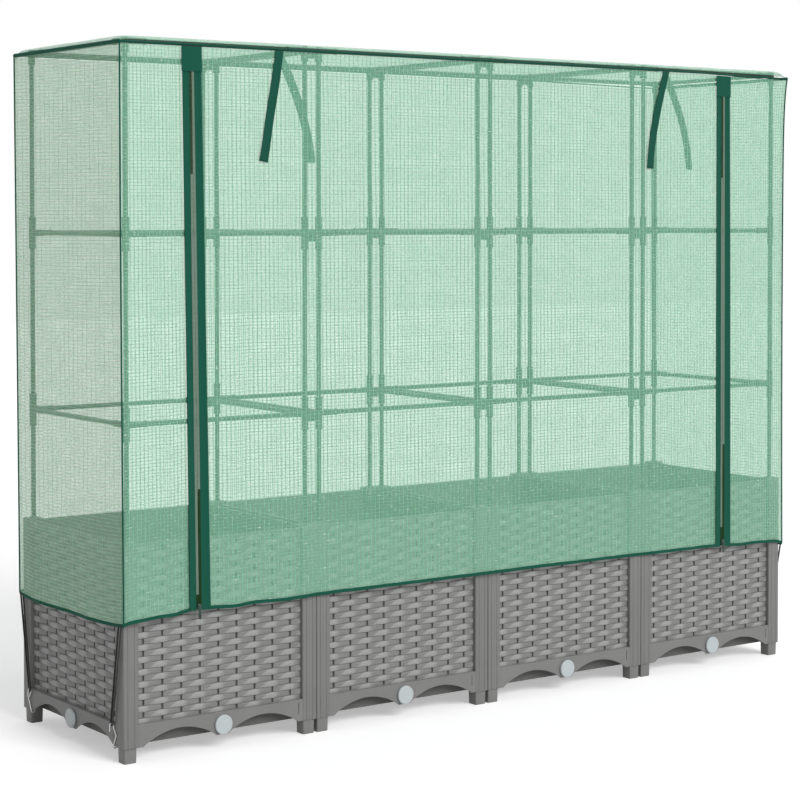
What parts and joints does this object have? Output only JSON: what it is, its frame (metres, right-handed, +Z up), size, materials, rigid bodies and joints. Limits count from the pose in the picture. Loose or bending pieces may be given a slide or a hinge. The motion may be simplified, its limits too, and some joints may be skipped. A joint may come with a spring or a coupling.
{
  "type": "covered raised planter",
  "caption": "Row of raised square planter boxes with a woven look, under a tube-framed film cover with a zipped front door.",
  "frame": {"origin": "middle of the row's footprint, on the ground", "axes": "+X along the row to the right seen from the front, -Y out of the front with the door, +Z up"},
  "size_m": [1.6222, 0.4246, 1.267],
  "materials": {
    "planter_grey": "moulded weave, satin",
    "tray_grey": "satin",
    "plug_grey": "satin",
    "frame_green": "powder coat",
    "cover_film": "clear green film with a woven reinforcing grid",
    "trim_green": "woven tape",
    "ribbon_green": "woven ribbon",
    "zip_metal": "satin",
    "cord_black": "braided cover",
    "hook_steel": "galvanised"
  },
  "bodies": {
    "root": {"front_panel_1": "planter_grey", "front_panel_2": "planter_grey", "front_panel_3": "planter_grey", "front_panel_4": "planter_grey", "back_panel_1": "planter_grey", "back_panel_2": "planter_grey", "back_panel_3": "planter_grey", "back_panel_4": "planter_grey", "left_end_panel": "planter_grey", "right_end_panel": "planter_grey", "inner_panel_1": "planter_grey", "inner_panel_2": "planter_grey", "inner_panel_3": "planter_grey", "inner_panel_4": "planter_grey", "inner_panel_5": "planter_grey", "inner_panel_6": "planter_grey", "base_tray_1": "tray_grey", "base_tray_2": "tray_grey", "base_tray_3": "tray_grey", "base_tray_4": "tray_grey", "lower_frame": "frame_green", "middle_frame": "frame_green", "top_frame": "frame_green", "cover_roof": "cover_film", "cover_left_wall": "cover_film", "cover_right_wall": "cover_film", "cover_back_wall": "cover_film", "cover_front_left_strip": "cover_film", "cover_front_right_strip": "cover_film", "seam_piping": "trim_green", "hem_binding": "trim_green", "zip_tape_left": "trim_green", "zip_tape_right": "trim_green", "inner_ribbon_left": "ribbon_green", "inner_ribbon_right": "ribbon_green", "elastic_cord_front_left": "cord_black", "elastic_cord_back_left": "cord_black", "elastic_cord_front_right": "cord_black", "elastic_cord_back_right": "cord_black", "cord_hook_front_left": "hook_steel", "cord_hook_back_left": "hook_steel", "cord_hook_front_right": "hook_steel", "cord_hook_back_right": "hook_steel"},
    "door": {"door_panel": "cover_film", "door_hem": "trim_green", "door_zip_tape_left": "trim_green", "door_zip_tape_right": "trim_green", "outer_ribbon_left": "ribbon_green", "outer_ribbon_right": "ribbon_green"},
    "zip_slider_left": {"zip_slider_left": "zip_metal"},
    "zip_pull_left": {"zip_pull_left": "zip_metal"},
    "zip_slider_right": {"zip_slider_right": "zip_metal"},
    "zip_pull_right": {"zip_pull_right": "zip_metal"},
    "drain_plug_front_1": {"drain_plug_front_1": "plug_grey"},
    "drain_plug_front_2": {"drain_plug_front_2": "plug_grey"},
    "drain_plug_front_3": {"drain_plug_front_3": "plug_grey"},
    "drain_plug_front_4": {"drain_plug_front_4": "plug_grey"},
    "drain_plug_left_end": {"drain_plug_left_end": "plug_grey"},
    "drain_plug_right_end": {"drain_plug_right_end": "plug_grey"}
  },
  "joints": [
    {"name": "door_lift", "type": "hinge", "parent": "root", "child": "door", "pos_m": [0, -0.20975, 1.2545], "axis": [-1, 0, 0], "range_deg": [0, 120]},
    {"name": "zip_left_run", "type": "slide", "parent": "door", "child": "zip_slider_left", "axis": [-0.016, -0.0049, 0.9999], "range_m": [0, 0.92]},
    {"name": "zip_left_pull", "type": "hinge", "parent": "zip_slider_left", "child": "zip_pull_left", "pos_m": [-0.6521, -0.20866, 0.26195], "axis": [-0.9999, 0.0001, -0.016], "range_deg": [0, 90]},
    {"name": "zip_right_run", "type": "slide", "parent": "door", "child": "zip_slider_right", "axis": [-0.0075, -0.0049, 1], "range_m": [0, 0.92]},
    {"name": "zip_right_pull", "type": "hinge", "parent": "zip_slider_right", "child": "zip_pull_right", "pos_m": [0.62496, -0.20866, 0.26197], "axis": [-1, 0, -0.0075], "range_deg": [0, 90]},
    {"name": "plug_front_1_pull", "type": "slide", "parent": "root", "child": "drain_plug_front_1", "axis": [0, -1, 0], "range_m": [0, 0.03]},
    {"name": "plug_front_2_pull", "type": "slide", "parent": "root", "child": "drain_plug_front_2", "axis": [0, -1, 0], "range_m": [0, 0.03]},
    {"name": "plug_front_3_pull", "type": "slide", "parent": "root", "child": "drain_plug_front_3", "axis": [0, -1, 0], "range_m": [0, 0.03]},
    {"name": "plug_front_4_pull", "type": "slide", "parent": "root", "child": "drain_plug_front_4", "axis": [0, -1, 0], "range_m": [0, 0.03]},
    {"name": "plug_left_end_pull", "type": "slide", "parent": "root", "child": "drain_plug_left_end", "axis": [-1, 0, 0], "range_m": [0, 0.03]},
    {"name": "plug_right_end_pull", "type": "slide", "parent": "root", "child": "drain_plug_right_end", "axis": [1, 0, 0], "range_m": [0, 0.03]}
  ]
}
